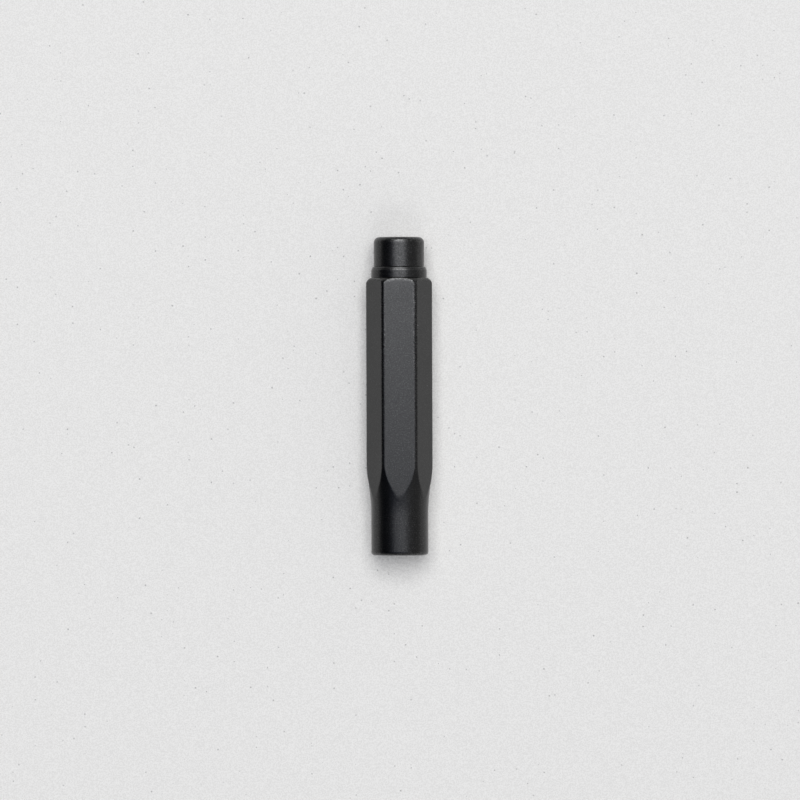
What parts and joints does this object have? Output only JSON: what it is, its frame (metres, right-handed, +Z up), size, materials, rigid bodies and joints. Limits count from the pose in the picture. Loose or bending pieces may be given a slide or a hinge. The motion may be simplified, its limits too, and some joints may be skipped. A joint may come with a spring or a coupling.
{
  "type": "pencil cap",
  "caption": "Black hexagonal metal pencil cap with a round socket that grips the pencil, a screwed-in eraser holder behind a collar, and a pull-off knob over the eraser.",
  "frame": {"origin": "middle of the cap's footprint, on the surface that the cap lies on", "axes": "+Y along the cap's axis from the open mouth to the knob, +Z up, away from the flat that the cap lies on"},
  "size_m": [0.0126, 0.0604, 0.011],
  "materials": {
    "anodised_black": "fine bead-blasted, matte black anodised",
    "rubber_black": "moulded nitrile rubber, satin",
    "acetal_black": "turned acetal, matte",
    "eraser_white": "white vinyl eraser, dry matte",
    "felt_grey": "pressed wool felt"
  },
  "bodies": {
    "barrel": {"barrel": "anodised_black", "front_grip_ring": "rubber_black", "grip_spacer": "acetal_black", "rear_grip_ring": "rubber_black", "liner_tube": "acetal_black"},
    "collar_seal": {"collar_seal_ring": "rubber_black"},
    "eraser_unit": {"eraser_holder": "anodised_black", "eraser": "eraser_white", "knob_ring": "rubber_black", "point_pad": "felt_grey"},
    "knob": {"knob": "anodised_black"}
  },
  "joints": [
    {"name": "holder_rise", "type": "slide", "parent": "barrel", "child": "collar_seal", "axis": [0, 1, 0], "range_m": [0, 0.00375]},
    {"name": "holder_turn", "type": "hinge", "parent": "collar_seal", "child": "eraser_unit", "pos_m": [0, 0.02255, 0.0055], "axis": [0, 1, 0], "range_deg": [0, 1801]},
    {"name": "knob_pull", "type": "slide", "parent": "eraser_unit", "child": "knob", "axis": [0, 1, 0], "range_m": [0, 0.008]}
  ],
  "couplings": [
    {"joint": "holder_turn", "follows": "holder_rise", "rad_per_m": 8377.6}
  ]
}
